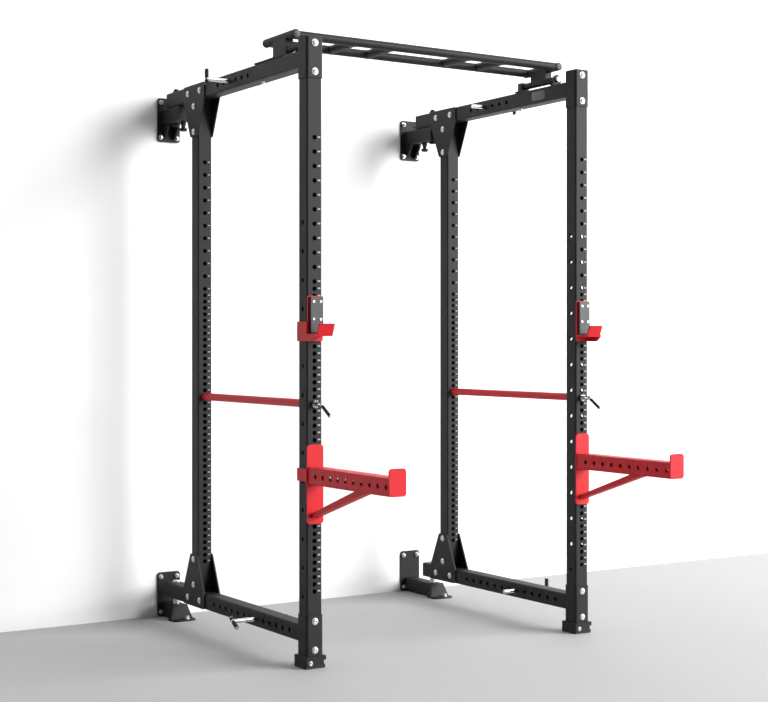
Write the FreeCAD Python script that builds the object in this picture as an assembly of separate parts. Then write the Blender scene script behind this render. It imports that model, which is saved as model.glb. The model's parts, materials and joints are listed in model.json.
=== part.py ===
import FreeCAD, Part
import math
import os

# Folding wall-mounted power cage, millimetres, +Z up, +Y towards the wall, X = 0 the mid-plane.
# Left is -X and right is +X for somebody who stands in front of the cage and faces the wall.

V = FreeCAD.Vector
SIDES = {"left": -1, "right": 1}

# overall layout
HALF_WIDTH = 598.0          # mid-plane to the centre line of a side frame
DEPTH = 870.0               # rear upright centre to front upright centre
WALL_GAP = 318.0            # rear upright centre to the wall
ARM_REACH = 562.0           # front upright centre to the tip of a spotter arm
REAR_Y = (DEPTH + ARM_REACH + WALL_GAP) / 2 - WALL_GAP
FRONT_Y = REAR_Y - DEPTH
WALL_Y = REAR_Y + WALL_GAP
TOTAL_HEIGHT = 2190.0       # top of the front uprights

# square steel tube
TUBE = 60.0
HALF_TUBE = TUBE / 2
TUBE_WALL = 3.0
TUBE_RADIUS = 6.0
FACE_Y = FRONT_Y - HALF_TUBE    # front face of the front uprights

# beams and uprights
BOTTOM_BEAM_Z = 116.0
TOP_BEAM_Z = 2118.0
FOOT_TOP = 41.0
TAIL_TOP = {"left": 268.0, "right": 222.0}      # end of the top beam behind the rear upright centre
TAIL_BOTTOM = {"left": 268.0, "right": 164.0}   # end of the bottom beam behind the rear upright centre
TAIL_CAP = 3.0

# adjustment holes
HOLE_R = 8.25
FINE_START = 265.0
FINE_PITCH = 25.0
FINE_COUNT = 44
COARSE_START = 1390.0
COARSE_PITCH = 50.0
COARSE_COUNT = 10
SIDE_START = 245.0
SIDE_PITCH = 100.0
SIDE_COUNT = 14
BEAM_PITCH = 50.0
TOP_BEAM_HOLES = 6
TOP_BEAM_FIRST = 205.0
BOTTOM_BEAM_HOLES = 13
BOTTOM_BEAM_FIRST = 175.0

# sleeves around the front uprights
SLEEVE_WALL = 3.5
SLEEVE_TALL = 142.0
SLEEVE_TRIM = 1.0           # the top sleeve stops this far below the upright's top
BEAM_FRONT_Y = FRONT_Y + HALF_TUBE + SLEEVE_WALL

# feet
FOOT_WIDE = 84.0
FOOT_RADIUS = 5.0
FOOT_FLANGE_Z = 27.0
FOOT_PAD_TOP = 12.0
FOOT_STEP = 9.0             # how far the block steps in on its right-hand side
PAD_STEP = 4.0

# end caps
CAP_TALL = 3.0
CAP_PLUG = 14.0

# gusset plates
GUSSET_THICK = 5.0
GUSSET_HALF = 95.0
GUSSET_REACH = 176.0        # beam centre to the narrow end
GUSSET_RADIUS = 10.0

# bolts
BOLT_R = 12.5
BOLT_TALL = 6.5
BOLT_ROUND = 3.0
SLEEVE_BOLT_LOW = 21.0      # above the sleeve's lower edge
SLEEVE_BOLT_HIGH = 121.0
GUSSET_BOLT_SIDE = 54.0
GUSSET_BOLT_NEAR = 56.0
GUSSET_BOLT_FAR = 156.0
FOOT_BOLT_R = 8.5
FOOT_BOLT_X = -22.0
FOOT_BOLT_Z = 19.0
NUT_R = 8.0
NUT_TALL = 12.0

# hinges
HINGE_BEHIND = {"left": 238.0, "right": 130.0}  # hinge axis behind the rear upright centre
PIN_R = 10.0
PIN_CLEAR = 0.05
BUSH_R = 15.0
PIN_HEAD_R = 15.0
PIN_HEAD_TALL = 8.0
PIN_TIP_TALL = 17.0
PIN_NUT_TALL = 13.0
PIN_GAP = 1.0               # free height between a pin's head and the beam
PIN_ROUND = 2.5
SPACER_R = 13.0
BOTTOM_PIN_LOW = 12.0

# wall plates
PLATE_WIDE = 100.0
PLATE_TALL = 180.0
PLATE_THICK = 6.0
PLATE_RADIUS = 12.0
PLATE_HOLE_X = 36.0
PLATE_HOLE_Z = 72.0
PLATE_HOLE_R = 5.5
PLATE_EYE_R = 4.5
PLATE_EYE_Z = 92.0
TOP_PLATE_Z = 2047.0
PLATE_FACE_Y = WALL_Y - PLATE_THICK

# top bracket arms
TOP_ARM_Z = 2057.0
TOP_ARM_LEAD = {"left": 88.0, "right": 30.0}    # arm's end in front of the hinge axis
RIB_HALF = 4.0
RIB_SPREAD = 22.0
RIB_LONG = 50.0
RIB_TALL = 58.0
RIB_EDGE = 12.0

# bottom bracket arms
LOW_ARM_Z = 30.0
LOW_ARM_LEAD = 32.0
FLARE_HALF = 46.0
FLARE_TOP_DEEP = 7.0
FLARE_BASE_DEEP = 24.0
FLOOR_PLATE_TALL = 6.0
FLOOR_PLATE_HALF = 50.0
FLOOR_PLATE_LEAD = 94.0
FLOOR_PLATE_RADIUS = 22.0
FLOOR_HOLE_X = 14.0
FLOOR_HOLE_LEAD = 77.0
FLOOR_HOLE_R = 5.5

# plungers
PLUNGER_OFFSET = {"left": -68.0, "right": 63.0}     # plunger axis behind the hinge axis
PLUNGER_R = 6.0
PLUNGER_CLEAR = 0.3
PLUNGER_TIP_Z = 2085.0
PLUNGER_NECK_R = 8.5
PLUNGER_NECK_Z = 2012.0
PLUNGER_KNOB_R = 15.5
PLUNGER_KNOB_LOW = 1986.0
PLUNGER_KNOB_TOP = 1998.0
PLUNGER_SLEEVE_R = 11.5
CATCH_R = 6.6

# J-cups
CUP_PLATE_LOW = 1133.0
CUP_PLATE_TOP = 1290.0
CUP_PLATE_THICK = 6.0
CUP_PLATE_RADIUS = 5.0
CUP_SHELF_LOW = 1150.0
CUP_SHELF_TOP = 1158.0
CUP_LIP_TOP = 1193.0
CUP_REACH = 89.0
CUP_LIP_THICK = 8.0
CUP_SHELF_REACH = 72.0
CUP_CHEEK_REACH = 50.0      # lower front corner of the side plate
CUP_COLLAR_TOP = 1201.0
COLLAR_THICK = 6.0
COLLAR_GAP = 0.4
COLLAR_DEEP = 60.0
HOOK_R = 7.8
HOOK_LONG = 20.0
CUP_HOOKS = (1165.0, 1265.0)
LINER_HALF = 24.0
LINER_THICK = 13.0
LINER_TOP = 1287.0
LINER_PAD_TALL = 6.0

# spotter arms
ARM_PLATE_LOW = 500.0
ARM_PLATE_TOP = 775.0
ARM_PLATE_WIDE = 64.0
ARM_PLATE_THICK = 6.0
ARM_PLATE_RADIUS = 12.0
ARM_Z = 668.0
ARM_HOLES = 10
ARM_HOLE_PITCH = 50.0
ARM_HOLE_FIRST = 52.0
ARM_COLLAR_LOW = 647.0
ARM_COLLAR_TOP = 692.0
ARM_TIP_LOW = 638.0
ARM_TIP_TOP = 728.0
ARM_HOOKS = (515.0, 740.0)
BRACE_HALF = 16.0
BRACE_WALL = 3.0
BRACE_LOW_Z = 521.0
BRACE_TOP_Z = 537.0
BRACE_FAR = 398.0
BRACE_NEAR = 326.0

# pin and pipe safeties
SAFETY_Z = 915.0
PIPE_R = 14.5
PIPE_WALL = 3.0
PIPE_END = 8.0
PIPE_GAP = 1.0
PIPE_BORE_R = 8.2
ROD_R = 8.0
ROD_TAIL = 12.0
ROD_RING_R = 14.0
ROD_RING_DEEP = 10.0
ROD_NECK = 45.0
GRIP_REACH = 105.0
GRIP_DROP = 38.0
GRIP_R = 5.0

# band pegs
TOP_PEG_L = 305.0
BOTTOM_PEG_L = 525.0
PEG_R = 8.0
PEG_OUT = 95.0
PEG_IN = 65.0
PEG_GRIP_R = 7.0
PEG_GRIP_LONG = 58.0
PEG_GRIP_HIGH = 38.0
PEG_TILT = {"left_bottom": 123.0}       # degrees from upright, towards the front

# pull-up bar
BAR_Z = 2223.0
BAR_R = 16.0
END_FROM = {"left": 99.0, "right": 110.0}    # distances behind the front upright centre
END_TO = 325.0
RAIL_FRONT = 126.0
RAIL_REAR = 306.0
RUNG_X = (338.0, 175.0)
POST_SPAN = {"left": (150.0, 247.0), "right": (176.0, 273.0)}
POST_LOW = {"left": 2154.0, "right": 2173.0}
POST_HALF = 15.0
BARREL_Z = 2173.0
BARREL_R = 13.0
LUG_R = 19.0
LUG_FRONT = {"left": (45.0, 52.0), "right": (121.0, 128.0)}
LUG_REAR = (327.5, 352.5)     # the right mount only
LUG_TOP = 2188.0
LUG_ROUND = 4.0
LUG_GAP = 0.5
BARREL_TO = {"left": 247.0, "right": 327.0}
BASE_PADS = {"left": ((45.0, 62.0), (150.0, 364.0)), "right": ((112.0, 130.0), (292.0, 357.0))}
BASE_LOW = 2148.4
BASE_TOP = 2154.0
BASE_HALF = 30.0
BAR_BOLT_R = 6.0
BAR_BOLT_HEAD_R = 10.5
BAR_BOLT_HEAD = 10.0
BAR_BOLT_NUT = 10.0
LOCK_L = {"left": 350.0, "right": 357.0}
LOCK_R = 8.0
LOCK_TALL = 11.0
BORE_CLEAR = 0.05


def long_edges(shape, axis):
    """Straight edges of a shape that run along one axis."""
    found = []
    for edge in shape.Edges:
        ends = [v.Point for v in edge.Vertexes]
        if len(ends) == 2:
            run = ends[1] - ends[0]
            if abs(abs(run.dot(axis)) - run.Length) < 1e-6 and run.Length > 0:
                found.append(edge)
    return found


def box(x0, x1, y0, y1, z0, z1):
    """Box between two corners."""
    low = V(min(x0, x1), min(y0, y1), min(z0, z1))
    return Part.makeBox(abs(x1 - x0), abs(y1 - y0), abs(z1 - z0), low)


def soft_box(x0, x1, y0, y1, z0, z1, axis, radius):
    """Box whose edges along one axis are rounded."""
    body = box(x0, x1, y0, y1, z0, z1)
    return body.makeFillet(radius, long_edges(body, axis))


def tube_z(x, y, z0, z1, size, wall, radius):
    """Upright square tube."""
    half = size / 2
    inner = half - wall
    outer = soft_box(x - half, x + half, y - half, y + half, z0, z1, V(0, 0, 1), radius)
    bore = box(x - inner, x + inner, y - inner, y + inner, z0 - 1, z1 + 1)
    return outer.cut(bore)


def tube_y(x, y0, y1, z, size, wall, radius):
    """Square tube from front to back."""
    half = size / 2
    inner = half - wall
    outer = soft_box(x - half, x + half, y0, y1, z - half, z + half, V(0, 1, 0), radius)
    bore = box(x - inner, x + inner, y0 - 1, y1 + 1, z - inner, z + inner)
    return outer.cut(bore)


def rod(start, end, radius):
    """Round bar between two points."""
    run = end - start
    return Part.makeCylinder(radius, run.Length, start, run)


def button(at, way, radius, tall, soften):
    """Bolt head with a rounded rim, standing on a face."""
    head = Part.makeCylinder(radius, tall, at, way)
    top = at + V(way).multiply(tall)
    rims = []
    for edge in head.Edges:
        if isinstance(edge.Curve, Part.Circle):
            if (edge.Curve.Center - top).Length < 1e-6:
                rims.append(edge)
    return head.makeFillet(soften, rims)


def yz_prism(points, x0, x1):
    """Closed outline in the Y-Z plane, given thickness along X."""
    low = min(x0, x1)
    corners = [V(low, y, z) for y, z in points]
    corners.append(corners[0])
    face = Part.Face(Part.makePolygon(corners))
    return face.extrude(V(abs(x1 - x0), 0, 0))


def loft(low_corners, top_corners):
    """Solid between two outlines with the same number of corners."""
    wires = []
    for corners in (low_corners, top_corners):
        wires.append(Part.makePolygon(list(corners) + [corners[0]]))
    return Part.makeLoft(wires, True, True)


def export(name, shape):
    """Write one sub-part."""
    shape.exportStep("parts/" + name + ".step")


def hinge_y(side):
    """Y of a side frame's hinge axis."""
    return REAR_Y + HINGE_BEHIND[side]


def upright_holes(x, y):
    """Through holes in the front and back of an upright."""
    levels = [FINE_START + FINE_PITCH * i for i in range(FINE_COUNT)]
    levels += [COARSE_START + COARSE_PITCH * i for i in range(COARSE_COUNT)]
    cutters = []
    for z in levels:
        cutters.append(rod(V(x, y - TUBE, z), V(x, y + TUBE, z), HOLE_R))
    return cutters


def rear_upright(side):
    """Tube between the two beams, drilled front and back."""
    x = SIDES[side] * HALF_WIDTH
    low = BOTTOM_BEAM_Z + HALF_TUBE
    top = TOP_BEAM_Z - HALF_TUBE
    post = tube_z(x, REAR_Y, low, top, TUBE, TUBE_WALL, TUBE_RADIUS)
    return post.cut(upright_holes(x, REAR_Y))


def front_upright(side):
    """Full-height tube, drilled front and back and from side to side."""
    x = SIDES[side] * HALF_WIDTH
    post = tube_z(x, FRONT_Y, FOOT_TOP, TOTAL_HEIGHT - CAP_TALL, TUBE, TUBE_WALL, TUBE_RADIUS)
    cutters = upright_holes(x, FRONT_Y)
    for i in range(SIDE_COUNT):
        z = SIDE_START + SIDE_PITCH * i
        cutters.append(rod(V(x - TUBE, FRONT_Y, z), V(x + TUBE, FRONT_Y, z), HOLE_R))
    return post.cut(cutters)


def beam(side, z, tail, first, count):
    """Side beam with its closed tail, hinge bush and side holes."""
    x = SIDES[side] * HALF_WIDTH
    end = REAR_Y + tail
    y = hinge_y(side)
    body = tube_y(x, BEAM_FRONT_Y, end, z, TUBE, TUBE_WALL, TUBE_RADIUS)
    inner = HALF_TUBE - TUBE_WALL
    stop = box(x - inner, x + inner, end - TAIL_CAP, end, z - inner, z + inner)
    low = V(x, y, z - HALF_TUBE)
    top = V(x, y, z + HALF_TUBE)
    body = body.fuse([stop, rod(low, top, BUSH_R)])
    up = V(0, 0, 1)
    cutters = [rod(low - up, top + up, PIN_R + PIN_CLEAR)]
    for i in range(count):
        at = REAR_Y - first - BEAM_PITCH * i
        cutters.append(rod(V(x - TUBE, at, z), V(x + TUBE, at, z), HOLE_R))
    return body.cut(cutters)


def top_beam(side):
    """Upper beam, with the hole that the plunger enters."""
    body = beam(side, TOP_BEAM_Z, TAIL_TOP[side], TOP_BEAM_FIRST, TOP_BEAM_HOLES)
    x = SIDES[side] * HALF_WIDTH
    y = hinge_y(side) + PLUNGER_OFFSET[side]
    low = TOP_BEAM_Z - TUBE
    return body.cut(rod(V(x, y, low), V(x, y, TOP_BEAM_Z), CATCH_R))


def bottom_beam(side):
    """Lower beam."""
    return beam(side, BOTTOM_BEAM_Z, TAIL_BOTTOM[side], BOTTOM_BEAM_FIRST, BOTTOM_BEAM_HOLES)


def gussets(side):
    """Four tapered plates that join the rear upright to the beams."""
    plates = []
    centre = SIDES[side] * HALF_WIDTH
    for z, way in ((BOTTOM_BEAM_Z, 1), (TOP_BEAM_Z, -1)):
        outline = []
        for across, along in ((-GUSSET_HALF, -HALF_TUBE), (GUSSET_HALF, -HALF_TUBE),
                              (GUSSET_HALF, HALF_TUBE), (HALF_TUBE, GUSSET_REACH),
                              (-HALF_TUBE, GUSSET_REACH), (-GUSSET_HALF, HALF_TUBE)):
            outline.append((REAR_Y + across, z + way * along))
        for face in (-1, 1):
            x = centre + face * HALF_TUBE
            plate = yz_prism(outline, x, x + face * GUSSET_THICK)
            plates.append(plate.makeFillet(GUSSET_RADIUS, long_edges(plate, V(1, 0, 0))))
    return Part.makeCompound(plates)


def sleeves(side):
    """Two square sleeves that join the beams to the front upright."""
    x = SIDES[side] * HALF_WIDTH
    size = TUBE + 2 * SLEEVE_WALL
    half = size / 2
    rings = []
    for low in (FOOT_TOP, TOTAL_HEIGHT - SLEEVE_TRIM - SLEEVE_TALL):
        top = low + SLEEVE_TALL
        outer = soft_box(x - half, x + half, FRONT_Y - half, FRONT_Y + half, low, top,
                         V(0, 0, 1), TUBE_RADIUS + SLEEVE_WALL)
        bore = soft_box(x - HALF_TUBE, x + HALF_TUBE, FRONT_Y - HALF_TUBE, FRONT_Y + HALF_TUBE,
                        low - 1, top + 1, V(0, 0, 1), TUBE_RADIUS)
        rings.append(outer.cut(bore))
    return Part.makeCompound(rings)


def frame_bolts(side):
    """Bolt heads of the sleeves, the gussets, the foot and the lock nut."""
    centre = SIDES[side] * HALF_WIDTH
    heads = []
    front = FACE_Y - SLEEVE_WALL
    for low in (FOOT_TOP, TOTAL_HEIGHT - SLEEVE_TRIM - SLEEVE_TALL):
        for lift in (SLEEVE_BOLT_LOW, SLEEVE_BOLT_HIGH):
            at = V(centre, front, low + lift)
            heads.append(button(at, V(0, -1, 0), BOLT_R, BOLT_TALL, BOLT_ROUND))
    spots = ((-GUSSET_BOLT_SIDE, 0.0), (GUSSET_BOLT_SIDE, 0.0), (0.0, GUSSET_BOLT_NEAR),
             (0.0, GUSSET_BOLT_FAR))
    for z, way in ((BOTTOM_BEAM_Z, 1), (TOP_BEAM_Z, -1)):
        for face in (-1, 1):
            x = centre + face * (HALF_TUBE + GUSSET_THICK)
            for across, along in spots:
                at = V(x, REAR_Y + across, z + way * along)
                heads.append(button(at, V(face, 0, 0), BOLT_R, BOLT_TALL, BOLT_ROUND))
    at = V(centre + FOOT_BOLT_X, FRONT_Y - FOOT_WIDE / 2, FOOT_BOLT_Z)
    heads.append(button(at, V(0, -1, 0), FOOT_BOLT_R, BOLT_TALL, BOLT_ROUND))
    at = V(centre, FRONT_Y + LOCK_L[side], TOP_BEAM_Z - HALF_TUBE)
    heads.append(button(at, V(0, 0, -1), NUT_R, NUT_TALL, BOLT_ROUND))
    return Part.makeCompound(heads)


def foot(side):
    """Steel block under a front upright, with a wider flange on top."""
    x = SIDES[side] * HALF_WIDTH
    half = FOOT_WIDE / 2
    up = V(0, 0, 1)
    flange = soft_box(x - half, x + half, FRONT_Y - half, FRONT_Y + half,
                      FOOT_FLANGE_Z, FOOT_TOP, up, FOOT_RADIUS)
    block = soft_box(x - half, x + half - FOOT_STEP, FRONT_Y - half, FRONT_Y + half,
                     FOOT_PAD_TOP, FOOT_FLANGE_Z, up, FOOT_RADIUS)
    return flange.fuse(block)


def foot_pad(side):
    """Rubber pad that meets the floor."""
    x = SIDES[side] * HALF_WIDTH
    half = FOOT_WIDE / 2
    return soft_box(x - half, x + half - PAD_STEP, FRONT_Y - half, FRONT_Y + half,
                    0.0, FOOT_PAD_TOP, V(0, 0, 1), FOOT_RADIUS)


def cap(side):
    """Plastic plug in the top of a front upright."""
    x = SIDES[side] * HALF_WIDTH
    inner = HALF_TUBE - TUBE_WALL
    top = TOTAL_HEIGHT - CAP_TALL
    lid = soft_box(x - HALF_TUBE, x + HALF_TUBE, FRONT_Y - HALF_TUBE, FRONT_Y + HALF_TUBE,
                   top, TOTAL_HEIGHT, V(0, 0, 1), TUBE_RADIUS)
    plug = box(x - inner, x + inner, FRONT_Y - inner, FRONT_Y + inner, top - CAP_PLUG, top)
    return lid.fuse(plug)


def wall_plate(x, z, eye):
    """Wall plate with four anchor holes and, if asked, a small middle hole."""
    body = soft_box(x - PLATE_WIDE / 2, x + PLATE_WIDE / 2, PLATE_FACE_Y, WALL_Y,
                    z - PLATE_TALL / 2, z + PLATE_TALL / 2, V(0, 1, 0), PLATE_RADIUS)
    cutters = []
    for across in (-PLATE_HOLE_X, PLATE_HOLE_X):
        for along in (-PLATE_HOLE_Z, PLATE_HOLE_Z):
            at = V(x + across, PLATE_FACE_Y - 1, z + along)
            cutters.append(rod(at, at + V(0, PLATE_THICK + 2, 0), PLATE_HOLE_R))
    if eye:
        at = V(x, PLATE_FACE_Y - 1, PLATE_EYE_Z)
        cutters.append(rod(at, at + V(0, PLATE_THICK + 2, 0), PLATE_EYE_R))
    return body.cut(cutters)


def top_bracket(side):
    """Upper wall bracket: plate, arm under the beam and two curved ribs."""
    x = SIDES[side] * HALF_WIDTH
    y = hinge_y(side)
    plate = wall_plate(x, TOP_PLATE_Z, False)
    front = y - TOP_ARM_LEAD[side]
    arm = tube_y(x, front, PLATE_FACE_Y, TOP_ARM_Z, TUBE, TUBE_WALL, TUBE_RADIUS)
    inner = HALF_TUBE - TUBE_WALL
    stop = box(x - inner, x + inner, front, front + TAIL_CAP, TOP_ARM_Z - inner, TOP_ARM_Z + inner)
    pieces = [arm, stop]
    low = TOP_ARM_Z - HALF_TUBE
    for way in (-1, 1):
        rib = yz_prism(((PLATE_FACE_Y, low), (PLATE_FACE_Y - RIB_LONG, low),
                        (PLATE_FACE_Y - RIB_LONG, low - RIB_EDGE),
                        (PLATE_FACE_Y - RIB_EDGE, low - RIB_TALL),
                        (PLATE_FACE_Y, low - RIB_TALL)),
                       x + way * RIB_SPREAD - RIB_HALF, x + way * RIB_SPREAD + RIB_HALF)
        pieces.append(rib)
    body = plate.fuse(pieces)
    far = V(0, 0, TUBE)
    mid = V(x, y, TOP_ARM_Z)
    catch = V(x, y + PLUNGER_OFFSET[side], TOP_ARM_Z)
    cutters = [rod(mid - far, mid + far, PIN_R)]
    cutters.append(rod(catch - far, catch + far, PLUNGER_R + PLUNGER_CLEAR))
    return body.cut(cutters)


def bottom_bracket(side):
    """Lower wall bracket: plate, floor arm, flared foot and floor plate."""
    x = SIDES[side] * HALF_WIDTH
    y = hinge_y(side)
    plate = wall_plate(x, PLATE_TALL / 2, True)
    front = y - LOW_ARM_LEAD
    arm = tube_y(x, front, PLATE_FACE_Y, LOW_ARM_Z, TUBE, TUBE_WALL, TUBE_RADIUS)
    low = FLOOR_PLATE_TALL
    base = front - FLARE_BASE_DEEP
    lean = front - FLARE_TOP_DEEP
    top = LOW_ARM_Z + HALF_TUBE
    under = (V(x - FLARE_HALF, base, low), V(x + FLARE_HALF, base, low),
             V(x + FLARE_HALF, front, low), V(x - FLARE_HALF, front, low))
    over = (V(x - HALF_TUBE, lean, top), V(x + HALF_TUBE, lean, top),
            V(x + HALF_TUBE, front, top), V(x - HALF_TUBE, front, top))
    flare = loft(under, over)
    tread = box(x - FLOOR_PLATE_HALF, x + FLOOR_PLATE_HALF, y - FLOOR_PLATE_LEAD, front, 0.0, low)
    corners = []
    for edge in long_edges(tread, V(0, 0, 1)):
        if edge.Vertexes[0].Point.y < front - 1:
            corners.append(edge)
    tread = tread.makeFillet(FLOOR_PLATE_RADIUS, corners)
    body = plate.fuse([arm, flare, tread])
    pin = V(x, y, BOTTOM_PIN_LOW)
    hole = V(x + FLOOR_HOLE_X, y - FLOOR_HOLE_LEAD, 0.0)
    rise = V(0, 0, low)
    cutters = [rod(pin, pin + V(0, 0, TUBE), PIN_R)]
    cutters.append(rod(hole - rise, hole + rise * 2, FLOOR_HOLE_R))
    return body.cut(cutters)


def top_pin(side):
    """Upper hinge pin with its head, tip and nut."""
    x = SIDES[side] * HALF_WIDTH
    y = hinge_y(side)
    low = TOP_ARM_Z - HALF_TUBE
    head = TOP_BEAM_Z + HALF_TUBE + PIN_GAP
    up = V(0, 0, 1)
    shank = rod(V(x, y, low), V(x, y, head), PIN_R)
    cover = button(V(x, y, head), up, PIN_HEAD_R, PIN_HEAD_TALL, PIN_ROUND)
    tip = button(V(x, y, head), up, PIN_R, PIN_TIP_TALL, PIN_ROUND)
    nut = button(V(x, y, low), V(0, 0, -1), PIN_HEAD_R, PIN_NUT_TALL, PIN_ROUND)
    return shank.fuse([cover, tip, nut])


def bottom_pin(side):
    """Lower hinge pin with its head and the spacer under the beam."""
    x = SIDES[side] * HALF_WIDTH
    y = hinge_y(side)
    arm_top = LOW_ARM_Z + HALF_TUBE
    head = BOTTOM_BEAM_Z + HALF_TUBE + PIN_GAP
    shank = rod(V(x, y, BOTTOM_PIN_LOW), V(x, y, head), PIN_R)
    spacer = rod(V(x, y, arm_top), V(x, y, BOTTOM_BEAM_Z - HALF_TUBE - PIN_GAP), SPACER_R)
    cover = button(V(x, y, head), V(0, 0, 1), PIN_HEAD_R, PIN_HEAD_TALL, PIN_ROUND)
    return shank.fuse([spacer, cover])


def plunger_housing(side):
    """Short sleeve under the bracket arm that guides the plunger."""
    x = SIDES[side] * HALF_WIDTH
    y = hinge_y(side) + PLUNGER_OFFSET[side]
    low = V(x, y, PLUNGER_NECK_Z)
    top = V(x, y, TOP_ARM_Z - HALF_TUBE)
    bore = rod(low - V(0, 0, 1), top + V(0, 0, 1), PLUNGER_NECK_R + PLUNGER_CLEAR)
    return rod(low, top, PLUNGER_SLEEVE_R).cut(bore)


def plunger(side):
    """Locking plunger with its mushroom knob, drawn down out of the beam."""
    x = SIDES[side] * HALF_WIDTH
    y = hinge_y(side) + PLUNGER_OFFSET[side]
    pin = rod(V(x, y, PLUNGER_KNOB_TOP), V(x, y, PLUNGER_TIP_Z), PLUNGER_R)
    neck = rod(V(x, y, PLUNGER_KNOB_TOP), V(x, y, PLUNGER_NECK_Z), PLUNGER_NECK_R)
    tall = PLUNGER_KNOB_TOP - PLUNGER_KNOB_LOW
    knob = button(V(x, y, PLUNGER_KNOB_TOP), V(0, 0, -1), PLUNGER_KNOB_R, tall, tall / 2)
    return pin.fuse([neck, knob])


def collar(side, low, top):
    """Side plate that reaches back along the outer face of an upright."""
    way = SIDES[side]
    x = way * (HALF_WIDTH + HALF_TUBE)
    front = FACE_Y - ARM_PLATE_THICK
    cheek = box(x + way * COLLAR_GAP, x + way * COLLAR_THICK, front, FACE_Y + COLLAR_DEEP, low, top)
    tab = box(x - way * COLLAR_THICK, x + way * COLLAR_THICK, front, FACE_Y, low, top)
    return cheek.fuse(tab)


def cup_cheek(side):
    """Part of the cup's outer side plate in front of the upright, cut back below."""
    way = SIDES[side]
    x = way * (HALF_WIDTH + HALF_TUBE)
    outline = ((FACE_Y, CUP_PLATE_LOW), (FACE_Y, CUP_SHELF_TOP),
               (FACE_Y - CUP_SHELF_REACH, CUP_SHELF_TOP), (FACE_Y - CUP_SHELF_REACH, CUP_SHELF_LOW),
               (FACE_Y - CUP_CHEEK_REACH, CUP_PLATE_LOW))
    return yz_prism(outline, x, x + way * COLLAR_THICK)


def hooks(side, levels):
    """Round lugs that sit in the upright's holes."""
    x = SIDES[side] * HALF_WIDTH
    lugs = []
    for z in levels:
        lugs.append(rod(V(x, FACE_Y - 1, z), V(x, FACE_Y + HOOK_LONG, z), HOOK_R))
    return lugs


def jcup(side):
    """J-cup bracket: plate, shelf, leaning lip, collar and lugs."""
    x = SIDES[side] * HALF_WIDTH
    back = FACE_Y - CUP_PLATE_THICK
    plate = soft_box(x - HALF_TUBE, x + HALF_TUBE, back, FACE_Y, CUP_PLATE_LOW, CUP_PLATE_TOP,
                     V(0, 1, 0), CUP_PLATE_RADIUS)
    shelf = box(x - HALF_TUBE, x + HALF_TUBE, FACE_Y - CUP_SHELF_REACH + CUP_LIP_THICK, back,
                CUP_SHELF_LOW, CUP_SHELF_TOP)
    root = FACE_Y - CUP_SHELF_REACH
    tip = FACE_Y - CUP_REACH
    lip = yz_prism(((root, CUP_SHELF_LOW), (root + CUP_LIP_THICK, CUP_SHELF_LOW),
                    (root + CUP_LIP_THICK, CUP_SHELF_TOP), (tip + CUP_LIP_THICK, CUP_LIP_TOP),
                    (tip, CUP_LIP_TOP)), x - HALF_TUBE, x + HALF_TUBE)
    pieces = [shelf, lip, cup_cheek(side), collar(side, CUP_PLATE_LOW, CUP_COLLAR_TOP)]
    return plate.fuse(pieces + hooks(side, CUP_HOOKS))


def jcup_liner(side):
    """Plastic facing of the plate and of the shelf."""
    x = SIDES[side] * HALF_WIDTH
    back = FACE_Y - CUP_PLATE_THICK
    face = box(x - LINER_HALF, x + LINER_HALF, back - LINER_THICK, back, CUP_SHELF_TOP, LINER_TOP)
    reach = FACE_Y - CUP_SHELF_REACH + CUP_LIP_THICK
    pad = box(x - LINER_HALF, x + LINER_HALF, reach, back, CUP_SHELF_TOP,
              CUP_SHELF_TOP + LINER_PAD_TALL)
    return face.fuse(pad)


def spotter_plate(side):
    """Back plate of a spotter arm, with its collar and lugs."""
    x = SIDES[side] * HALF_WIDTH
    half = ARM_PLATE_WIDE / 2
    back = FACE_Y - ARM_PLATE_THICK
    plate = soft_box(x - half, x + half, back, FACE_Y, ARM_PLATE_LOW, ARM_PLATE_TOP,
                     V(0, 1, 0), ARM_PLATE_RADIUS)
    pieces = [collar(side, ARM_COLLAR_LOW, ARM_COLLAR_TOP)]
    return plate.fuse(pieces + hooks(side, ARM_HOOKS))


def spotter_arm(side):
    """Drilled arm tube."""
    x = SIDES[side] * HALF_WIDTH
    root = FACE_Y - ARM_PLATE_THICK
    tip = FRONT_Y - ARM_REACH
    arm = tube_y(x, tip + ARM_PLATE_THICK, root, ARM_Z, TUBE, TUBE_WALL, TUBE_RADIUS)
    cutters = []
    for i in range(ARM_HOLES):
        y = root - ARM_HOLE_FIRST - ARM_HOLE_PITCH * i
        cutters.append(rod(V(x - TUBE, y, ARM_Z), V(x + TUBE, y, ARM_Z), HOLE_R))
    return arm.cut(cutters)


def spotter_tip(side):
    """End plate of a spotter arm, higher than the arm."""
    x = SIDES[side] * HALF_WIDTH
    half = ARM_PLATE_WIDE / 2
    tip = FRONT_Y - ARM_REACH
    return soft_box(x - half, x + half, tip, tip + ARM_PLATE_THICK, ARM_TIP_LOW, ARM_TIP_TOP,
                    V(0, 1, 0), ARM_PLATE_RADIUS)


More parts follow.
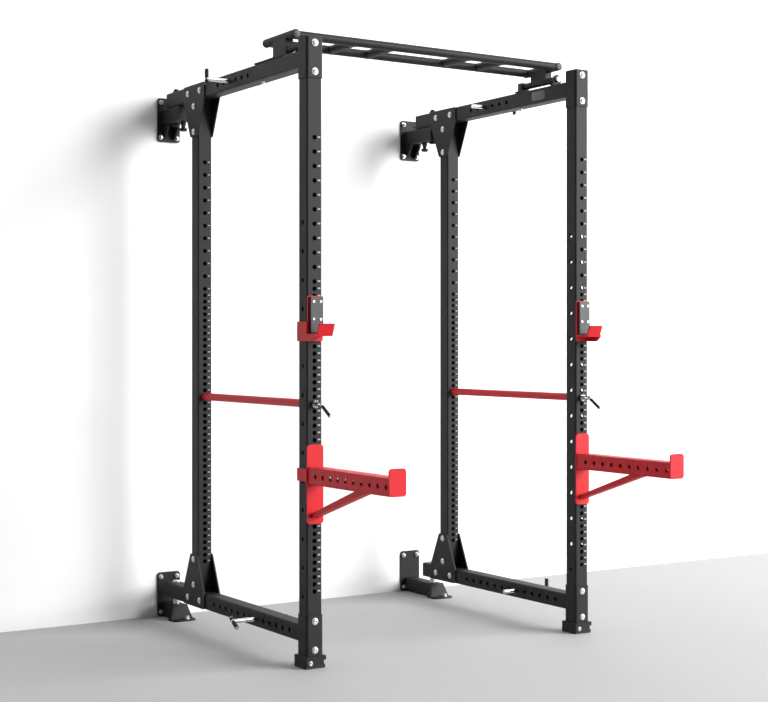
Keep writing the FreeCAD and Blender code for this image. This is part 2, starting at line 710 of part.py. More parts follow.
def spotter_brace(side):
    """Slanting square tube under a spotter arm."""
    x = SIDES[side] * HALF_WIDTH
    root = FACE_Y - ARM_PLATE_THICK
    low = ARM_Z - HALF_TUBE
    outer = ((root, BRACE_LOW_Z), (FRONT_Y - BRACE_FAR, low), (FRONT_Y - BRACE_NEAR, low),
             (root, BRACE_TOP_Z))
    body = yz_prism(outer, x - BRACE_HALF, x + BRACE_HALF)
    slope = (low - BRACE_LOW_Z) / (FRONT_Y - BRACE_FAR - root)
    lift = BRACE_WALL * math.sqrt(1 + slope * slope)
    shift = lift / slope
    inner = ((root, BRACE_LOW_Z + lift), (FRONT_Y - BRACE_FAR - shift, low),
             (FRONT_Y - BRACE_NEAR + shift, low), (root, BRACE_TOP_Z - lift))
    room = BRACE_HALF - BRACE_WALL
    return body.cut(yz_prism(inner, x - room, x + room))


def safety_pipe(side):
    """Pipe between the uprights, with bushed ends."""
    x = SIDES[side] * HALF_WIDTH
    front = FRONT_Y + HALF_TUBE + PIPE_GAP
    back = REAR_Y - HALF_TUBE - PIPE_GAP
    skin = rod(V(x, front, SAFETY_Z), V(x, back, SAFETY_Z), PIPE_R)
    room = rod(V(x, front + PIPE_END, SAFETY_Z), V(x, back - PIPE_END, SAFETY_Z), PIPE_R - PIPE_WALL)
    bore = rod(V(x, front - 1, SAFETY_Z), V(x, back + 1, SAFETY_Z), PIPE_BORE_R)
    return skin.cut([room, bore])


def safety_rod(side):
    """Long pull pin through both uprights, with a ring and a bent grip."""
    x = SIDES[side] * HALF_WIDTH
    back = V(x, REAR_Y + HALF_TUBE + ROD_TAIL, SAFETY_Z)
    bend = V(x, FACE_Y - ROD_NECK, SAFETY_Z)
    end = V(x, FACE_Y - GRIP_REACH, SAFETY_Z - GRIP_DROP)
    shaft = rod(back, bend, ROD_R)
    ring = rod(V(x, FACE_Y, SAFETY_Z), V(x, FACE_Y - ROD_RING_DEEP, SAFETY_Z), ROD_RING_R)
    knee = Part.makeSphere(ROD_R, bend)
    grip = rod(bend, end, GRIP_R)
    tip = Part.makeSphere(GRIP_R, end)
    return shaft.fuse([ring, knee, grip, tip])


def peg(side, level, z, reach):
    """Band peg through a beam, with a cross grip at its outer end."""
    way = SIDES[side]
    x = way * HALF_WIDTH
    y = REAR_Y - reach
    inner = V(x - way * (HALF_TUBE + PEG_IN), y, z)
    outer = V(x + way * (HALF_TUBE + PEG_OUT), y, z)
    tilt = math.radians(PEG_TILT.get(side + "_" + level, 0.0))
    run = V(0, -math.sin(tilt), math.cos(tilt))
    high = outer + run * PEG_GRIP_HIGH
    low = high - run * PEG_GRIP_LONG
    return rod(inner, outer, PEG_R).fuse([rod(low, high, PEG_GRIP_R), Part.makeSphere(PEG_R, outer)])


def bar_end(side):
    """End bar of the pull-up ladder with its post and barrel."""
    x = SIDES[side] * HALF_WIDTH
    bar = rod(V(x, FRONT_Y + END_FROM[side], BAR_Z), V(x, FRONT_Y + END_TO, BAR_Z), BAR_R)
    near, far = POST_SPAN[side]
    post = box(x - POST_HALF, x + POST_HALF, FRONT_Y + near, FRONT_Y + far, POST_LOW[side], BAR_Z)
    front = FRONT_Y + LUG_FRONT[side][1] + LUG_GAP
    back = FRONT_Y + BARREL_TO[side]
    barrel = rod(V(x, front, BARREL_Z), V(x, back, BARREL_Z), BARREL_R)
    bore = rod(V(x, front - 1, BARREL_Z), V(x, back + 1, BARREL_Z), BAR_BOLT_R + BORE_CLEAR)
    return bar.fuse([post, barrel]).cut(bore)


def bar_rails():
    """Two long rails of the pull-up ladder, coped to the end bars."""
    cutters = []
    for side in SIDES:
        x = SIDES[side] * HALF_WIDTH
        cutters.append(rod(V(x, FRONT_Y, BAR_Z), V(x, REAR_Y, BAR_Z), BAR_R))
    rails = []
    for reach in (RAIL_FRONT, RAIL_REAR):
        y = FRONT_Y + reach
        line = rod(V(-HALF_WIDTH, y, BAR_Z), V(HALF_WIDTH, y, BAR_Z), BAR_R)
        rails.append(line.cut(cutters))
    return rails


def bar_rungs(rails):
    """Four cross rungs between the rails."""
    rungs = []
    for at in RUNG_X:
        for way in (-1, 1):
            x = way * at
            rung = rod(V(x, FRONT_Y + RAIL_FRONT, BAR_Z), V(x, FRONT_Y + RAIL_REAR, BAR_Z), BAR_R)
            rungs.append(rung.cut(rails))
    return Part.makeCompound(rungs)


def front_lug(side):
    """Round-topped lug that carries the front end of the barrel's bolt."""
    x = SIDES[side] * HALF_WIDTH
    near = FRONT_Y + LUG_FRONT[side][0]
    far = FRONT_Y + LUG_FRONT[side][1]
    stem = box(x - LUG_R, x + LUG_R, near, far, BASE_TOP - 1, BARREL_Z)
    return stem.fuse(rod(V(x, near, BARREL_Z), V(x, far, BARREL_Z), LUG_R))


def rear_lug(x):
    """Thick square-topped lug behind the right barrel, its top corners eased."""
    block = box(x - LUG_R, x + LUG_R, FRONT_Y + LUG_REAR[0], FRONT_Y + LUG_REAR[1], BASE_TOP - 1, LUG_TOP)
    corners = []
    for edge in block.Edges:
        middle = edge.BoundBox.Center
        if edge.BoundBox.YLength > 1 and middle.z > LUG_TOP - 1:
            corners.append(edge)
    return block.makeFillet(LUG_ROUND, corners)


def bar_mount(side):
    """Pads on the beam with the lugs of the bar's pivot; the left one has its lock bolt's head."""
    x = SIDES[side] * HALF_WIDTH
    pads = []
    for near, far in BASE_PADS[side]:
        pads.append(box(x - BASE_HALF, x + BASE_HALF, FRONT_Y + near, FRONT_Y + far, BASE_LOW, BASE_TOP))
    pieces = [front_lug(side)]
    if side == "right":
        pieces.append(rear_lug(x))
    else:
        lock = V(x, FRONT_Y + LOCK_L[side], BASE_TOP)
        pieces.append(button(lock, V(0, 0, 1), LOCK_R, LOCK_TALL - (BASE_TOP - BASE_LOW), BOLT_ROUND))
    body = pads[0].fuse(pads[1:] + pieces)
    bore = rod(V(x, FRONT_Y, BARREL_Z), V(x, REAR_Y, BARREL_Z), BAR_BOLT_R)
    return body.cut(bore)


def bar_bolt(side):
    """Long bolt through the lugs and the barrel; the left one ends in its post."""
    x = SIDES[side] * HALF_WIDTH
    front = V(x, FRONT_Y + LUG_FRONT[side][0], BARREL_Z)
    head = button(front, V(0, -1, 0), BAR_BOLT_HEAD_R, BAR_BOLT_HEAD, BOLT_ROUND)
    if side == "left":
        back = V(x, FRONT_Y + BARREL_TO[side], BARREL_Z)
        return rod(front, back, BAR_BOLT_R).fuse(head)
    back = V(x, FRONT_Y + LUG_REAR[1], BARREL_Z)
    nut = button(back, V(0, 1, 0), BAR_BOLT_HEAD_R, BAR_BOLT_NUT, BOLT_ROUND)
    return rod(front, back, BAR_BOLT_R).fuse([head, nut])


def main():
    """Write every sub-part of both sides and of the pull-up bar."""
    os.makedirs("parts", exist_ok=True)
    makers = {"top_bracket": top_bracket, "bottom_bracket": bottom_bracket, "top_pin": top_pin,
              "bottom_pin": bottom_pin, "plunger_housing": plunger_housing, "plunger": plunger,
              "rear_upright": rear_upright, "front_upright": front_upright, "top_beam": top_beam,
              "bottom_beam": bottom_beam, "gussets": gussets, "sleeves": sleeves,
              "frame_bolts": frame_bolts, "foot": foot, "foot_pad": foot_pad, "cap": cap,
              "jcup": jcup, "jcup_liner": jcup_liner, "spotter_plate": spotter_plate,
              "spotter_arm": spotter_arm, "spotter_tip": spotter_tip, "spotter_brace": spotter_brace,
              "safety_pipe": safety_pipe, "safety_rod": safety_rod, "bar_end": bar_end,
              "bar_mount": bar_mount, "bar_bolt": bar_bolt}
    for side in SIDES:
        for name, make in makers.items():
            export(side + "_" + name, make(side))
        export(side + "_top_peg", peg(side, "top", TOP_BEAM_Z, TOP_PEG_L))
        export(side + "_bottom_peg", peg(side, "bottom", BOTTOM_BEAM_Z, BOTTOM_PEG_L))
    rails = bar_rails()
    export("bar_rails", Part.makeCompound(rails))
    export("bar_rungs", bar_rungs(rails))


main()
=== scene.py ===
"""Looks of the folding wall-mounted power cage. Metres, +Z up, +Y towards the wall, -X is left."""
import json
from math import cos, pi, radians, sin, sqrt

import bpy
import numpy as np
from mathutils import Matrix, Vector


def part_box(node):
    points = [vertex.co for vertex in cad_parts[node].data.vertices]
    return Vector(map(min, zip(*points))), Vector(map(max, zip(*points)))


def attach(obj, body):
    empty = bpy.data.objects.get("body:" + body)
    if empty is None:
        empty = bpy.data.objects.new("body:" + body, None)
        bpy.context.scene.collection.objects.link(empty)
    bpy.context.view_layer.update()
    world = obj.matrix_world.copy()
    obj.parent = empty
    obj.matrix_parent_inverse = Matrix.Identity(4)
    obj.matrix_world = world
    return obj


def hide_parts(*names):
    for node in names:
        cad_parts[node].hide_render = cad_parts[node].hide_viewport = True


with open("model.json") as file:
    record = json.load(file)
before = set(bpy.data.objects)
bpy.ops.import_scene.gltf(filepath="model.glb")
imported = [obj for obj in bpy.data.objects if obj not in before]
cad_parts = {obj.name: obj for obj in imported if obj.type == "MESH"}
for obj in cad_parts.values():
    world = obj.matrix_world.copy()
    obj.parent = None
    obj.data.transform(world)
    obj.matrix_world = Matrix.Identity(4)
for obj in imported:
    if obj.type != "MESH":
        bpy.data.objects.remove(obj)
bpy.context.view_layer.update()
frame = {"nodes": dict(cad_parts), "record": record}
NODES = frame["nodes"]
SIDES = {"left": -1, "right": 1}
MM = 0.001


# ---------------------------------------------------------------- places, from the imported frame
def middle(node):
    """Centre of a CAD node's box."""
    low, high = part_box(node)
    return (np.array(low) + np.array(high)) / 2


UPRIGHT_X = {side: float(middle(side + "_front_upright")[0]) for side in SIDES}
FRONT_Y = float(middle("left_front_upright")[1])
REAR_Y = float(middle("left_rear_upright")[1])
FACE_Y = float(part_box("left_front_upright")[0][1])
WALL_Y = float(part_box("left_top_bracket")[1][1])
TUBE = 60 * MM
PLATE_THICK = 6 * MM
PLATE_FACE_Y = WALL_Y - PLATE_THICK
HINGE_Y = {side: float(middle(side + "_top_pin")[1]) for side in SIDES}

# frame bolts, as in the CAD: heights and offsets from the tube centres
BOTTOM_BEAM_Z = 116 * MM
TOP_BEAM_Z = 2118 * MM
SLEEVE_GAP = 3.5 * MM
SLEEVE_BOLT_Z = (62 * MM, 162 * MM, 2068 * MM, 2168 * MM)
GUSSET_OUT = 35 * MM
GUSSET_SPOTS = ((-54 * MM, 0.0), (54 * MM, 0.0), (0.0, 56 * MM), (0.0, 156 * MM))
FOOT_HALF = 42 * MM
FOOT_BOLTS_X = (-22 * MM,)
FOOT_SIDE_X = 33 * MM
FOOT_BOLT_Z = 19 * MM
LOCK_BEHIND = {"left": 350 * MM, "right": 357 * MM}
HEAD_R = 12.5 * MM
HEAD_TALL = 6.5 * MM
SOCKET_R = 3.6 * MM
SOCKET_DEEP = 3 * MM
FOOT_HEAD_R = 8.5 * MM

# wall and floor anchors
ANCHOR_ACROSS = 36 * MM
ANCHOR_ALONG = 72 * MM
PLATE_CENTRES_Z = (2047 * MM, 90 * MM)
FLOOR_ANCHOR_X = 14 * MM
FLOOR_ANCHOR_LEAD = 77 * MM
FLOOR_PLATE_TOP = 6 * MM


# ---------------------------------------------------------------- surfaces
def ring_faces(rings, around, closed_ends):
    """Quads between rings of points, each ring closed; the ends are fans onto the first and last point."""
    i = np.arange(rings - 1)[:, None] * around
    j = np.arange(around)[None, :]
    k = (j + 1) % around
    quads = np.stack([i + j, i + k, i + around + k, i + around + j], -1).reshape(-1, 4)
    if not closed_ends:
        return quads.tolist()
    first = rings * around
    low = np.stack([np.full(around, first), k[0], j[0]], -1)
    top = (rings - 1) * around
    high = np.stack([np.full(around, first + 1), top + j[0], top + k[0]], -1)
    return quads.tolist() + low.tolist() + high.tolist()


def lathe(profile, around=32, hexed=()):
    """Profile (radius, height) turned about Z: x = r cos a, y = r sin a. Rings listed in hexed are
    six-sided: r is multiplied by cos 30 over cos of the angle from the nearest flat's middle."""
    a = np.arange(around) * 2 * pi / around
    flat = cos(pi / 6) / np.cos((a + pi / 6) % (pi / 3) - pi / 6)
    rows = []
    for at, (r, h) in enumerate(profile):
        reach = r * (flat if at in hexed else np.ones(around))
        rows.append(np.stack([reach * np.cos(a), reach * np.sin(a), np.full(around, h)], -1))
    ends = np.array([[0, 0, profile[0][1]], [0, 0, profile[-1][1]]])
    return np.concatenate(rows + [ends]), ring_faces(len(profile), around, True)


def aimed(surface, at, axis):
    """Turns a surface so that its Z lies along axis, and moves its origin to at."""
    points, faces = surface
    z = np.array(axis, float)
    z /= np.linalg.norm(z)
    helper = np.array([0, 0, 1.0]) if abs(z[2]) < 0.9 else np.array([1.0, 0, 0])
    x = np.cross(helper, z)
    x /= np.linalg.norm(x)
    y = np.cross(z, x)
    return points @ np.stack([x, y, z]) + np.array(at, float), faces


def bead(path, radius, closed=True, around=8, ripple=0.12, waves=0):
    """Circle of the given radius carried along a path of points: point + r (cos a side + sin a up),
    with r swelling by ripple times a sine wave along the path, as a weld's laid ripples do."""
    path = np.array(path, float)
    count = len(path)
    if closed:
        along = np.roll(path, -1, 0) - np.roll(path, 1, 0)
    else:
        along = np.gradient(path, axis=0)
    along /= np.linalg.norm(along, axis=1)[:, None]
    plane = np.linalg.svd(path - path.mean(0))[2][2]
    side = np.cross(along, plane)
    side /= np.linalg.norm(side, axis=1)[:, None]
    up = np.cross(along, side)
    a = np.arange(around) * 2 * pi / around
    r = radius * (1 + ripple * np.sin(np.arange(count) * 2 * pi * waves / count))
    wall = np.cos(a)[None, :, None] * side[:, None, :] + np.sin(a)[None, :, None] * up[:, None, :]
    points = (path[:, None, :] + r[:, None, None] * wall).reshape(-1, 3)
    if not closed:
        faces = ring_faces(count, around, True)
        return np.concatenate([points, path[:1], path[-1:]]), faces
    i = np.arange(count)[:, None]
    j = np.arange(around)[None, :]
    following = (i + 1) % count
    k = (j + 1) % around
    quads = np.stack([i * around + j, i * around + k, following * around + k, following * around + j], -1)
    return points, quads.reshape(-1, 4).tolist()


def soft_square(steps):
    """Superellipse of power 8, |x|^8 + |y|^8 = 1: the x and y of its points, walked by angle."""
    a = np.arange(steps) * 2 * pi / steps
    c, s = np.cos(a), np.sin(a)
    stretch = (np.abs(c) ** 8 + np.abs(s) ** 8) ** (-1 / 8)
    return c * stretch, s * stretch


def square_path(centre, half_u, half_v, u, v, steps=120):
    """Rounded rectangle in the plane of u and v: a soft square stretched to its half sizes."""
    c, s = soft_square(steps)
    return np.outer(c * half_u, u) + np.outer(s * half_v, v) + np.array(centre, float)


def joined(surfaces):
    """Several surfaces as one list of points and one list of faces."""
    points, faces, start = [], [], 0
    for p, f in surfaces:
        points.append(p)
        faces.extend([[n + start for n in face] for face in f])
        start += len(p)
    return np.concatenate(points), faces


def piece(name, surfaces, body, material, crease=35):
    """One object made of surfaces, riding on a body."""
    points, faces = joined(surfaces)
    mesh = bpy.data.meshes.new(name)
    mesh.from_pydata(points.tolist(), [], faces)
    mesh.polygons.foreach_set("use_smooth", np.ones(len(mesh.polygons), bool))
    mesh.set_sharp_from_angle(angle=radians(crease))
    mesh.materials.append(material)
    thing = bpy.data.objects.new(name, mesh)
    bpy.context.scene.collection.objects.link(thing)
    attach(thing, body)
    return thing


# ---------------------------------------------------------------- materials
def shade(code):
    """sRGB hex to linear red, green, blue, alpha."""
    parts = [int(code[i:i + 2], 16) / 255 for i in (1, 3, 5)]
    return tuple(c / 12.92 if c <= 0.04045 else ((c + 0.055) / 1.055) ** 2.4 for c in parts) + (1.0,)


def node(tree, kind, links=None, **settings):
    """Adds a node, sets its sockets by name and its properties, and links other sockets into it."""
    made = tree.nodes.new(kind)
    for key, value in settings.items():
        if key in made.inputs:
            made.inputs[key].default_value = value
        else:
            setattr(made, key, value)
    for key, source in (links or {}).items():
        tree.links.new(source, made.inputs[key])
    return made


def finish_of(name, dark, light, rough, bump_mm, grain_mm, metal=0.0, ior=1.5, stretch=(1, 1, 1),
              depth=0.25, cloud_mm=90, rough_span=0.1, gloss=0.5):
    """A coated, plated or moulded surface: its colour drifts between two shades over cloud_mm, its
    roughness drifts with it, and a grain of grain_mm, stretched where it was drawn, gives the bump."""
    material = bpy.data.materials.new(name)
    material.use_nodes = True
    tree = material.node_tree
    tree.nodes.clear()
    place = node(tree, "ShaderNodeTexCoord").outputs["Object"]
    drawn = node(tree, "ShaderNodeMapping", {"Vector": place}, Scale=stretch).outputs["Vector"]
    cloud = node(tree, "ShaderNodeTexNoise", {"Vector": place}, Scale=1 / (cloud_mm * MM), Detail=3.0)
    grain = node(tree, "ShaderNodeTexNoise", {"Vector": drawn}, Scale=1 / (grain_mm * MM), Detail=2.0)
    blend = node(tree, "ShaderNodeMath", {0: cloud.outputs["Fac"], 1: grain.outputs["Fac"]},
                 operation="MULTIPLY")
    ramp = node(tree, "ShaderNodeValToRGB", {"Fac": blend.outputs["Value"]})
    ramp.color_ramp.elements[0].position = 0.12
    ramp.color_ramp.elements[0].color = shade(dark)
    ramp.color_ramp.elements[1].position = 0.42
    ramp.color_ramp.elements[1].color = shade(light)
    spread = node(tree, "ShaderNodeMapRange", {"Value": cloud.outputs["Fac"]})
    spread.inputs["To Min"].default_value = rough - rough_span / 2
    spread.inputs["To Max"].default_value = rough + rough_span / 2
    bump = node(tree, "ShaderNodeBump", {"Height": grain.outputs["Fac"]}, Strength=depth,
                Distance=bump_mm * MM)
    body = node(tree, "ShaderNodeBsdfPrincipled",
                {"Base Color": ramp.outputs["Color"], "Roughness": spread.outputs["Result"],
                 "Normal": bump.outputs["Normal"]}, Metallic=metal, IOR=ior)
    body.inputs["Specular IOR Level"].default_value = gloss
    out = node(tree, "ShaderNodeOutputMaterial", {"Surface": body.outputs["BSDF"]})
    out.target = "ALL"
    return material


# Polyester powder coat baked on steel: a fine orange peel with a soft satin sheen.
black_coat = finish_of("powder_coated_steel_charcoal", "#1a1b1d", "#242527", 0.58, 0.10, 2.2, gloss=0.22)
red_coat = finish_of("powder_coated_steel_red", "#bd0f1c", "#cc1523", 0.50, 0.10, 2.2, gloss=0.25)
# Zinc plating on rolled bolts: bright, slightly cloudy grey.
zinc = finish_of("zinc_plated_steel", "#c4c6c8", "#eeeff0", 0.30, 0.05, 1.2, metal=0.6, cloud_mm=9)
# Drawn and chromed rod: fine lengthwise lines, mirror-like between them.
chrome = finish_of("chromed_steel_rod", "#b4b7ba", "#e2e4e6", 0.14, 0.03, 0.9, metal=1.0,
                   stretch=(1, 0.05, 1), cloud_mm=14, rough_span=0.06)
# Moulded natural rubber: matt, with a fine eraser-like grain.
rubber = finish_of("moulded_rubber_black", "#121212", "#1e1e1f", 0.82, 0.15, 1.1, ior=1.52)
# Injection-moulded nylon: a light leather-like texture from the mould.
nylon = finish_of("moulded_nylon_black", "#161617", "#232325", 0.55, 0.12, 1.4, ior=1.53)
# UHMW polyethylene: waxy dark grey with soft skived lines.
uhmw = finish_of("uhmw_polyethylene_grey", "#1f2022", "#2a2b2d", 0.50, 0.12, 1.8,
                 ior=1.53, stretch=(1, 1, 0.2))
# Printed vinyl label, left plain.
vinyl = finish_of("vinyl_label_plain", "#3a3a3c", "#464648", 0.38, 0.02, 1.0)

# Worn grey screen-printing ink on the coat.
ink = finish_of("screen_printed_ink_grey", "#8c8c8e", "#a6a6a8", 0.55, 0.02, 0.8)

SLOT_FINISH = {"black_steel": black_coat, "red_steel": red_coat, "zinc_steel": zinc, "chrome_bolt": zinc,
               "chrome_rod": chrome, "rubber": rubber, "black_plastic": nylon, "liner_plastic": uhmw}
for part in frame["record"]["subparts"]:
    thing = NODES[part["node"]]
    thing.data.materials.clear()
    thing.data.materials.append(SLOT_FINISH[part["material_slot"]])


# ---------------------------------------------------------------- fasteners
def cap_screw(r=HEAD_R, tall=HEAD_TALL, socket=SOCKET_R):
    """Flanged button head: flange, domed crown, then a six-sided socket sunk into the crown."""
    flange = 1.6 * MM
    crown = [(r * 0.86 * cos(t), flange + (tall - flange) * sin(t)) for t in np.linspace(0, 1.15, 7)]
    profile = [(r, 0.0), (r, flange * 0.7), (r * 0.96, flange)] + crown
    lip = len(profile)
    top = profile[-1][1]
    profile += [(socket * 1.18, tall), (socket, top), (socket, tall - SOCKET_DEEP),
                (socket * 0.2, tall - SOCKET_DEEP - 0.4 * MM)]
    return lathe(profile, 36, hexed=(lip + 1, lip + 2))


def hex_nut(r, tall, stud_r, stud_tall):
    """Washer, six-sided nut with eased corners, and the stud's rounded end standing through it."""
    washer = 1.5 * MM
    profile = [(r * 1.15, 0.0), (r * 1.15, washer), (r, washer), (r, tall * 0.9), (r * 0.9, tall),
               (stud_r, tall), (stud_r, stud_tall - 1 * MM), (stud_r * 0.75, stud_tall)]
    return lathe(profile, 36, hexed=(2, 3, 4))


for side in SIDES:
    x = UPRIGHT_X[side]
    heads = [aimed(cap_screw(), (x, FACE_Y - SLEEVE_GAP, z), (0, -1, 0)) for z in SLEEVE_BOLT_Z]
    for z, lean in ((BOTTOM_BEAM_Z, 1), (TOP_BEAM_Z, -1)):
        for face in (-1, 1):
            for across, along in GUSSET_SPOTS:
                at = (x + face * GUSSET_OUT, REAR_Y + across, z + lean * along)
                heads.append(aimed(cap_screw(), at, (face, 0, 0)))
    for off in FOOT_BOLTS_X:
        at = (x + off, FRONT_Y - FOOT_HALF, FOOT_BOLT_Z)
        heads.append(aimed(cap_screw(FOOT_HEAD_R), at, (0, -1, 0)))
    heads.append(aimed(cap_screw(7 * MM, 5 * MM), (x + FOOT_SIDE_X, FRONT_Y, FOOT_BOLT_Z), (1, 0, 0)))
    lock = (x, FRONT_Y + LOCK_BEHIND[side], TOP_BEAM_Z - TUBE / 2)
    heads.append(aimed(hex_nut(7 * MM, 8 * MM, 4 * MM, 12 * MM), lock, (0, 0, -1)))
    bolts = piece(side + "_socket_bolts", heads, side + "_frame", zinc)
    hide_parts(side + "_frame_bolts")

    anchors = []
    for z in PLATE_CENTRES_Z:
        for across in (-ANCHOR_ACROSS, ANCHOR_ACROSS):
            for along in (-ANCHOR_ALONG, ANCHOR_ALONG):
                at = (x + across, PLATE_FACE_Y, z + along)
                anchors.append(aimed(hex_nut(8.5 * MM, 9 * MM, 5 * MM, 14 * MM), at, (0, -1, 0)))
    floor_at = (x + FLOOR_ANCHOR_X, HINGE_Y[side] - FLOOR_ANCHOR_LEAD, FLOOR_PLATE_TOP)
    anchors.append(aimed(hex_nut(8.5 * MM, 9 * MM, 5 * MM, 14 * MM), floor_at, (0, 0, 1)))
    piece(side + "_wall_and_floor_anchors", anchors, "wall_mounts", zinc)

    # countersunk screws that hold the liner in the J-cup
    screws = []
    for off in (-14 * MM, 14 * MM):
        for z in (1209 * MM, 1270 * MM):
            at = (x + off, FACE_Y - 19 * MM, z)
            screws.append(aimed(cap_screw(4.5 * MM, 1.9 * MM, 1.7 * MM), at, (0, -1, 0)))
    piece(side + "_liner_screws", screws, side + "_cup", zinc)


# ---------------------------------------------------------------- welds
X, _, Z = np.eye(3)
BEAD_R = 2.2 * MM
WALL_WELD_Z = 2057 * MM
SPOTTER_ARM_Z = 668 * MM
BRACE_ROOT_Z = 529 * MM
BRACE_ROOT_HALF = (16 * MM, 8 * MM)
for side in SIDES:
    x = UPRIGHT_X[side]
    arm_half = TUBE / 2
    wall_welds = [bead(square_path((x, PLATE_FACE_Y, WALL_WELD_Z), arm_half, arm_half, X, Z), BEAD_R, waves=40)]
    piece(side + "_wall_welds", wall_welds, "wall_mounts", black_coat, 80)
    spot = [bead(square_path((x, FACE_Y - PLATE_THICK, SPOTTER_ARM_Z), arm_half, arm_half, X, Z),
                 BEAD_R, waves=40)]
    brace = [bead(square_path((x, FACE_Y - PLATE_THICK, BRACE_ROOT_Z), *BRACE_ROOT_HALF, X, Z),
                  BEAD_R, waves=22)]
    piece(side + "_spotter_welds", spot + brace, side + "_spotter", red_coat, 80)


def saddle(x, y, z, r, sign, steps=96):
    """Line where a rung meets a rail of the same radius: x = r cos t, z = r sin t, y = r |cos t|."""
    t = np.arange(steps) * 2 * pi / steps
    return np.stack([x + r * np.cos(t), y + sign * r * np.abs(np.cos(t)), z + r * np.sin(t)], -1)


BAR_Z = float(middle("bar_rails")[2])
BAR_R = 16 * MM
BAR_STARTS = {"left": 99 * MM, "right": 110 * MM}
BAR_ENDS = 325 * MM
RAIL_Y = (FRONT_Y + 126 * MM, FRONT_Y + 306 * MM)
welds = []
for at in (-338, -175, 175, 338):
    for rail, sign in ((RAIL_Y[0], 1), (RAIL_Y[1], -1)):
        welds.append(bead(saddle(at * MM, rail, BAR_Z, BAR_R, sign), 1.8 * MM, waves=24))
piece("ladder_welds", welds, "pull_up_bar", black_coat, 80)


# ---------------------------------------------------------------- printed hole marks
def bar_mark(centre, half_x, half_z, thick=0.15 * MM, steps=24):
    """Flat printed bar facing -Y: the outline of a soft square, raised by the ink's thickness."""
    c, s = soft_square(steps)
    rings = [np.stack([c * half_x, np.full(steps, lift), s * half_z], -1)
             for lift in (0.0, -thick)]
    ends = np.array([[0, 0.0, 0], [0, -thick, 0]])
    return np.concatenate(rings + [ends]) + np.array(centre, float), ring_faces(2, steps, True)


# plain bars stand where a real cage has its hole numbers
MARK_X = 18 * MM
MARK_HALF = {"front": (5.5 * MM, 2.6 * MM), "rear": (4.5 * MM, 2.0 * MM)}
MARK_LIFT = 1.5 * MM
fine = [265 * MM + 25 * MM * i for i in range(44)]
coarse = [1390 * MM + 50 * MM * i for i in range(10)]
for side in SIDES:
    for upright, levels in (("front", fine + coarse), ("rear", fine + coarse)):
        face = float(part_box(side + "_" + upright + "_upright")[0][1])
        low, high = (v[2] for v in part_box(side + "_" + upright + "_upright"))
        marks = [bar_mark((UPRIGHT_X[side] + MARK_X, face, z + MARK_LIFT), *MARK_HALF[upright])
                 for z in levels if low + 20 * MM < z < high - 20 * MM]
        piece(side + "_" + upright + "_hole_marks", marks, side + "_frame", ink)


# ---------------------------------------------------------------- grips, caps and label
def sleeve(length, r, end, ribs):
    """Rubber sleeve: a cylinder of radius r whose surface rises and falls with a cosine of ribs waves,
    closed by quarter-round ends."""
    h = np.linspace(end, length - end, ribs * 6 + 1)
    wave = r * (1 + 0.035 * np.cos((h - end) / (length - 2 * end) * 2 * pi * ribs))
    turn = np.linspace(0.15, pi / 2, 6)
    start = [(wave[0] * sin(t), end * (1 - cos(t))) for t in turn[:-1]]
    finish = [(wave[-1] * sin(t), length - end * (1 - cos(t))) for t in turn[:-1][::-1]]
    return lathe(start + list(zip(wave, h)) + finish, 28)


for side, way in SIDES.items():
    for level, body in (("top", "upper"), ("bottom", "lower")):
        low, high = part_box(side + "_" + level + "_peg")
        if side == "left" and level == "bottom":
            tilt = radians(123)
            y, z = FRONT_Y + 870 * MM - 525 * MM, BOTTOM_BEAM_Z
        else:
            tilt = 0.0
            y, z = (low[1] + high[1]) / 2, (TOP_BEAM_Z if level == "top" else BOTTOM_BEAM_Z)
        run = np.array([0, -sin(tilt), cos(tilt)])
        outer = np.array([UPRIGHT_X[side] + way * 125 * MM, y, z])
        foot = outer + run * (38 - 58) * MM
        grip = aimed(sleeve(58 * MM, 7.6 * MM, 3 * MM, 9), foot, run)
        piece(side + "_" + level + "_peg_grip", [grip], side + "_" + body + "_peg", rubber)

    bend = np.array([UPRIGHT_X[side], FACE_Y - 45 * MM, 915 * MM])
    tip = np.array([UPRIGHT_X[side], FACE_Y - 105 * MM, 877 * MM])
    reach = float(np.linalg.norm(tip - bend))
    unit = (tip - bend) / reach
    handle = aimed(sleeve(reach - 6 * MM, 5.8 * MM, 2.5 * MM, 8), bend + unit * 9 * MM, unit)
    piece(side + "_rod_grip", [handle], side + "_rod", rubber)

    # slightly domed plug in each end of the end bar
    plugs = []
    for reach, d in ((BAR_STARTS[side], -1), (BAR_ENDS, 1)):
        dome = [(BAR_R * cos(t), 3.5 * MM * sin(t)) for t in np.linspace(0, 1.45, 8)]
        plug = lathe([(BAR_R * 0.985, -1 * MM)] + dome, 40)
        plugs.append(aimed(plug, (UPRIGHT_X[side], FRONT_Y + reach, BAR_Z), (0, d, 0)))
    piece(side + "_bar_plugs", plugs, "pull_up_bar", nylon)


def cushion_plate(u_half, v_half, thick, steps=64):
    """Thin plate with rounded outline: rings of a soft square, drawn in and lifted towards the middle."""
    c, s = soft_square(steps)
    rows = []
    for shrink, lift in ((1.0, 0.0), (1.0, thick * 0.6), (0.985, thick), (0.5, thick)):
        rows.append(np.stack([c * u_half * shrink, s * v_half * shrink,
                              np.full(steps, lift)], -1))
    ends = np.array([[0, 0, 0.0], [0, 0, thick]])
    return np.concatenate(rows + [ends]), ring_faces(4, steps, True)


points, faces = cushion_plate(42 * MM, 18 * MM, 0.5 * MM)
turned = np.stack([-points[:, 2], -points[:, 0], points[:, 1]], -1)
label_at = np.array([UPRIGHT_X["right"] - TUBE / 2, FRONT_Y + 203 * MM, TOP_BEAM_Z])
piece("plain_label", [(turned + label_at, faces)], "right_frame", vinyl)


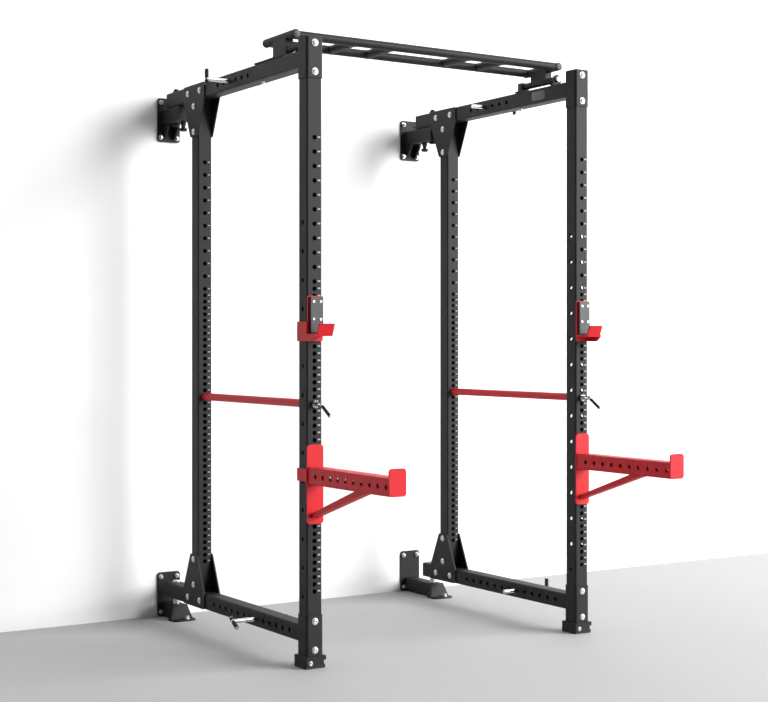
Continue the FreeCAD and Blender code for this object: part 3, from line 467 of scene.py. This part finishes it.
# ---------------------------------------------------------------- stage, light and camera
def stage_sheet(name, corners, code, rough):
    """Flat sheet through four corners, of one even colour, with a faint cloud in its roughness."""
    mesh = bpy.data.meshes.new(name)
    mesh.from_pydata(corners, [], [(0, 1, 2, 3)])
    mesh.materials.append(finish_of(name + "_paint", code, code, rough, 0.01, 8, cloud_mm=900))
    thing = bpy.data.objects.new(name, mesh)
    bpy.context.scene.collection.objects.link(thing)
    return thing


FAR = 14.0
WALL_TALL = 7.0
stage_sheet("floor", [(-FAR, -FAR, 0), (FAR, -FAR, 0), (FAR, FAR, 0), (-FAR, FAR, 0)], "#a6a6a6", 0.7)
stage_sheet("wall", [(-FAR, WALL_Y, 0), (FAR, WALL_Y, 0), (FAR, WALL_Y, WALL_TALL), (-FAR, WALL_Y, WALL_TALL)],
            "#f2f2f2", 0.9)


def softbox(name, at, look, size, watts):
    """Square area light at a place, aimed at a point."""
    lamp = bpy.data.lights.new(name, "AREA")
    lamp.energy = watts
    lamp.shape = "SQUARE"
    lamp.size = size
    thing = bpy.data.objects.new(name, lamp)
    thing.location = at
    aim = np.array(look, float) - np.array(at, float)
    thing.rotation_euler = (np.arctan2(sqrt(aim[0] ** 2 + aim[1] ** 2), -aim[2]), 0,
                            np.arctan2(aim[1], aim[0]) - pi / 2)
    bpy.context.scene.collection.objects.link(thing)
    return thing


softbox("key", (9.5, -8.5, 6.0), (0, 0, 1.0), 10.0, 4500)
softbox("top", (0.0, -1.5, 6.0), (0, -0.2, 0), 4.0, 40)
softbox("rear", (2.5, 8.0, 4.5), (0, 0, 1.0), 5.0, 260)
sky = bpy.data.worlds.new("studio")
sky.use_nodes = True
dim = sky.node_tree.nodes["Background"]
dim.inputs["Color"].default_value = (1, 1, 1, 1)
dim.inputs["Strength"].default_value = 0.10
# The studio beyond the stage is seen as white and lights the cage only dimly.
seen = node(sky.node_tree, "ShaderNodeBackground", Color=(1, 1, 1, 1), Strength=1.0)
ray = node(sky.node_tree, "ShaderNodeLightPath")
either = node(sky.node_tree, "ShaderNodeMixShader", {0: ray.outputs["Is Camera Ray"],
                                                     1: dim.outputs["Background"],
                                                     2: seen.outputs["Background"]})
sky.node_tree.links.new(either.outputs["Shader"], sky.node_tree.nodes["World Output"].inputs["Surface"])
bpy.context.scene.world = sky
bpy.context.scene.view_settings.view_transform = "Standard"

lens = bpy.data.cameras.new("camera")
lens.lens = 71.36
lens.sensor_width = 36.0
lens.shift_y = -0.0103
lens.clip_end = 60
camera = bpy.data.objects.new("camera", lens)
camera.location = (-3.2241, -4.9272, 1.1263)
camera.rotation_euler = (radians(90), 0, radians(-32.42))
bpy.context.scene.collection.objects.link(camera)
bpy.context.scene.camera = camera
